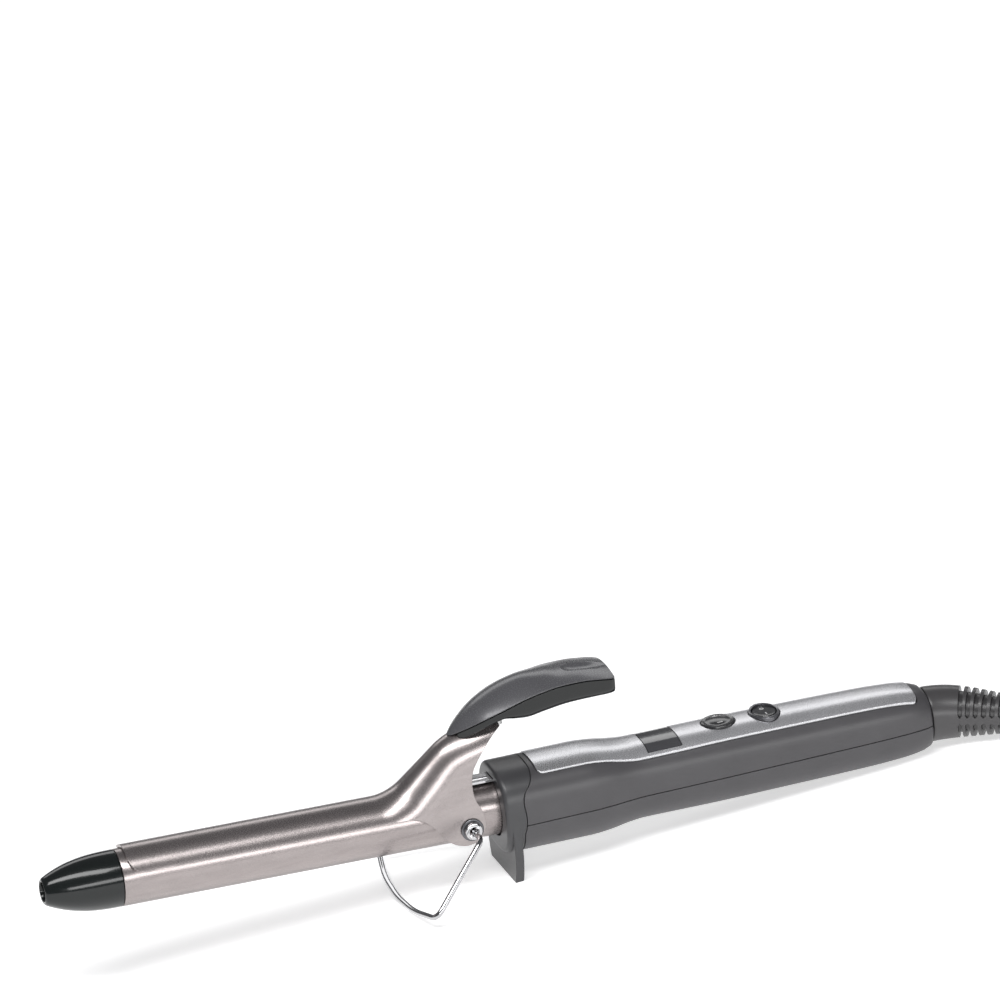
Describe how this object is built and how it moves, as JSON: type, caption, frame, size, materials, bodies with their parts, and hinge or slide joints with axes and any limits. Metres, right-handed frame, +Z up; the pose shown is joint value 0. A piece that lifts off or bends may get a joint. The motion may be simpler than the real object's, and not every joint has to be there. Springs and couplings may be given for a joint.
{
  "type": "curling iron",
  "caption": "Spring-clip hair curling iron with a thumb lever, wire stand, digital display, control buttons and a swivel cord boot.",
  "frame": {"origin": "centre of the bounding box in plan, on the table it rests on", "axes": "+X from the heated nose towards the cord boot along the iron, +Y across it, +Z up; the iron is stored resting on a table, pitched nose up by five degrees"},
  "size_m": [0.3444, 0.0642, 0.0648],
  "materials": {
    "phenolic": "brown phenolic insulator",
    "titanium_coat": "satin rosy titanium coating on an aluminium tube",
    "inner_steel": "zinc-plated steel",
    "component_black": "moulded black component body",
    "board_green": "green circuit board laminate",
    "titanium_sheet": "satin rosy titanium coating on pressed steel sheet",
    "bright_chrome": "bright chrome",
    "collar_grey": "satin dark grey heat-resistant plastic",
    "contact_brass": "sprung brass contact",
    "core_aluminium": "extruded aluminium",
    "window_smoke": "clear smoked display window",
    "ceramic_white": "matt white ceramic",
    "handle_grey": "fine satin dark grey plastic",
    "lead_red": "red insulated lead",
    "lead_white": "white insulated lead",
    "lcd_grey": "liquid-crystal display glass",
    "satin_grey": "satin dark grey plastic",
    "gloss_black": "high-gloss black plastic",
    "nose_plastic": "glossy black heat-resistant plastic",
    "button_grey": "satin dark grey plastic",
    "stand_chrome": "bright chrome spring wire",
    "boot_rubber": "soft dark grey rubber",
    "panel_silver": "silver metallic plastic with a soft sheen"
  },
  "bodies": {
    "iron": {"barrel_holder": "phenolic", "barrel_tube": "titanium_coat", "board_screw_front": "inner_steel", "board_screw_rear": "inner_steel", "capacitor": "component_black", "circuit_board": "board_green", "clip_spring": "bright_chrome", "collar": "collar_grey", "core_half_lower": "core_aluminium", "core_half_upper": "core_aluminium", "display_window": "window_smoke", "fuse": "ceramic_white", "handle_lower_shell": "handle_grey", "handle_upper_shell": "handle_grey", "heater_lead_live": "lead_red", "heater_lead_neutral": "lead_white", "lcd_module": "lcd_grey", "mains_lead_live": "lead_red", "mains_lead_neutral": "lead_white", "nose_cap": "nose_plastic", "pivot_block": "inner_steel", "pivot_screw_left": "bright_chrome", "pivot_screw_right": "bright_chrome", "pivot_washer_left": "bright_chrome", "pivot_washer_right": "bright_chrome", "power_bezel": "button_grey", "power_switch": "component_black", "ptc_heater": "ceramic_white", "shell_screw_front": "inner_steel", "shell_screw_rear": "inner_steel", "slip_ring_disc": "component_black", "spring_pin": "inner_steel", "spring_plate": "bright_chrome", "tact_switch_minus": "component_black", "tact_switch_plus": "component_black", "thermistor": "ceramic_white", "top_panel": "panel_silver", "triac": "component_black"},
    "clip": {"clip_spoon": "titanium_sheet", "lever_shell": "gloss_black", "lever_cover": "satin_grey", "lever_screw_front": "inner_steel", "lever_screw_rear": "inner_steel"},
    "stand": {"stand_wire": "stand_chrome"},
    "temperature_rocker": {"temperature_rocker": "button_grey"},
    "power_rocker": {"power_rocker": "button_grey"},
    "boot": {"strain_relief_boot": "boot_rubber", "swivel_hub": "component_black", "contact_pin_live": "contact_brass", "contact_pin_neutral": "contact_brass"}
  },
  "joints": [
    {"name": "clip_hinge", "type": "hinge", "parent": "iron", "child": "clip", "pos_m": [-0.03004, 0, 0.02157], "axis": [0, 1, 0], "range_deg": [0, 16], "stiffness_Nm_per_rad": 0.5, "springref_deg": -34.38, "deforming": ["clip_spring"]},
    {"name": "stand_hinge", "type": "hinge", "parent": "iron", "child": "stand", "pos_m": [-0.03004, 0, 0.02157], "axis": [0, 1, 0], "range_deg": [-100, 26]},
    {"name": "temperature_tilt", "type": "hinge", "parent": "iron", "child": "temperature_rocker", "pos_m": [0.06003, 0, 0.02746], "axis": [0.997, 0, -0.0774], "range_deg": [-3.5, 3.5], "stiffness_Nm_per_rad": 0.02},
    {"name": "power_tilt", "type": "hinge", "parent": "iron", "child": "power_rocker", "pos_m": [0.07602, 0, 0.02672], "axis": [0.997, 0, -0.0774], "range_deg": [0, 8]},
    {"name": "boot_swivel", "type": "hinge", "parent": "iron", "child": "boot", "pos_m": [0.12935, 0, 0.01084], "axis": [0.997, 0, -0.0774], "continuous": true}
  ]
}
